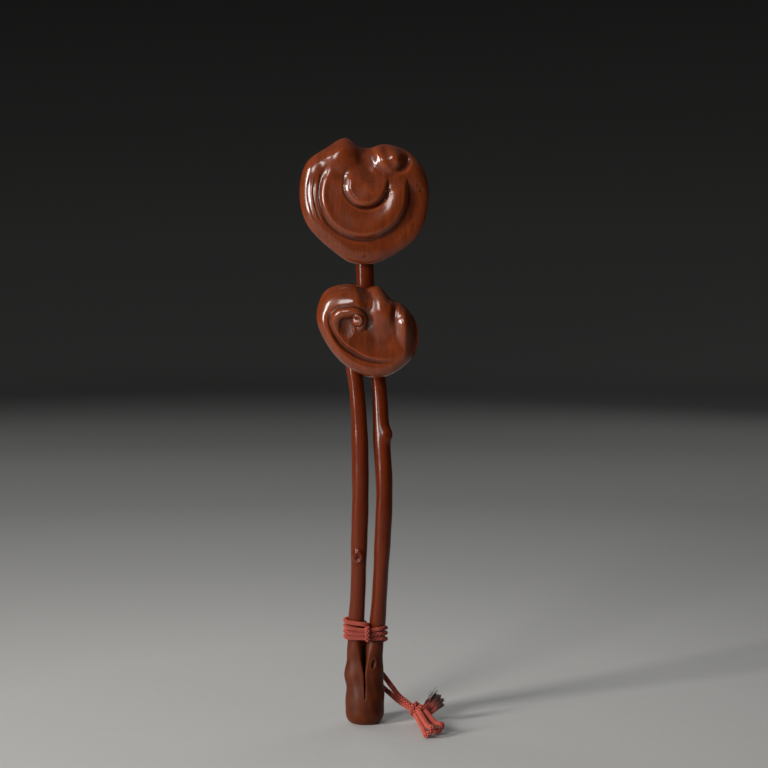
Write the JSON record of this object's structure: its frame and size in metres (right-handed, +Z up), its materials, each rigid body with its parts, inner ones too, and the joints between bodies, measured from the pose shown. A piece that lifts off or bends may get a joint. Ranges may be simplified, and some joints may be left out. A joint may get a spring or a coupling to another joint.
{
  "type": "ruyi sceptre",
  "caption": "Carved hardwood ruyi sceptre: twin fungus-shaped caps on bowed stems joined at a root foot, lashed with red braided cord that ends in a knotted tassel.",
  "frame": {"origin": "middle of the foot's flat face", "axes": "+Z up along the stems, +X to the right of the carved front, -Y towards the viewer of the front"},
  "size_m": [0.0911, 0.0624, 0.3826],
  "materials": {
    "wood": "polished",
    "peg_wood": "satin",
    "cord": "braided",
    "frayed_silk": "frayed"
  },
  "bodies": {
    "sceptre": {"root_foot": "wood", "short_stem": "wood", "long_stem": "wood", "lower_cap": "wood", "upper_cap": "wood", "lower_cap_peg": "peg_wood", "upper_cap_peg": "peg_wood", "binding_cord": "cord", "binding_cinch": "cord", "binding_knot": "cord"},
    "tassel": {"upper_tail": "cord", "lower_tail": "cord", "tassel_knot": "cord", "left_loop": "cord", "right_loop": "cord", "frayed_ends": "frayed_silk"}
  },
  "joints": [
    {"name": "tassel_swing", "type": "hinge", "parent": "sceptre", "child": "tassel", "pos_m": [0.002, 0.0118, 0.0464], "axis": [0, 0, 1], "range_deg": [0, 150]}
  ]
}
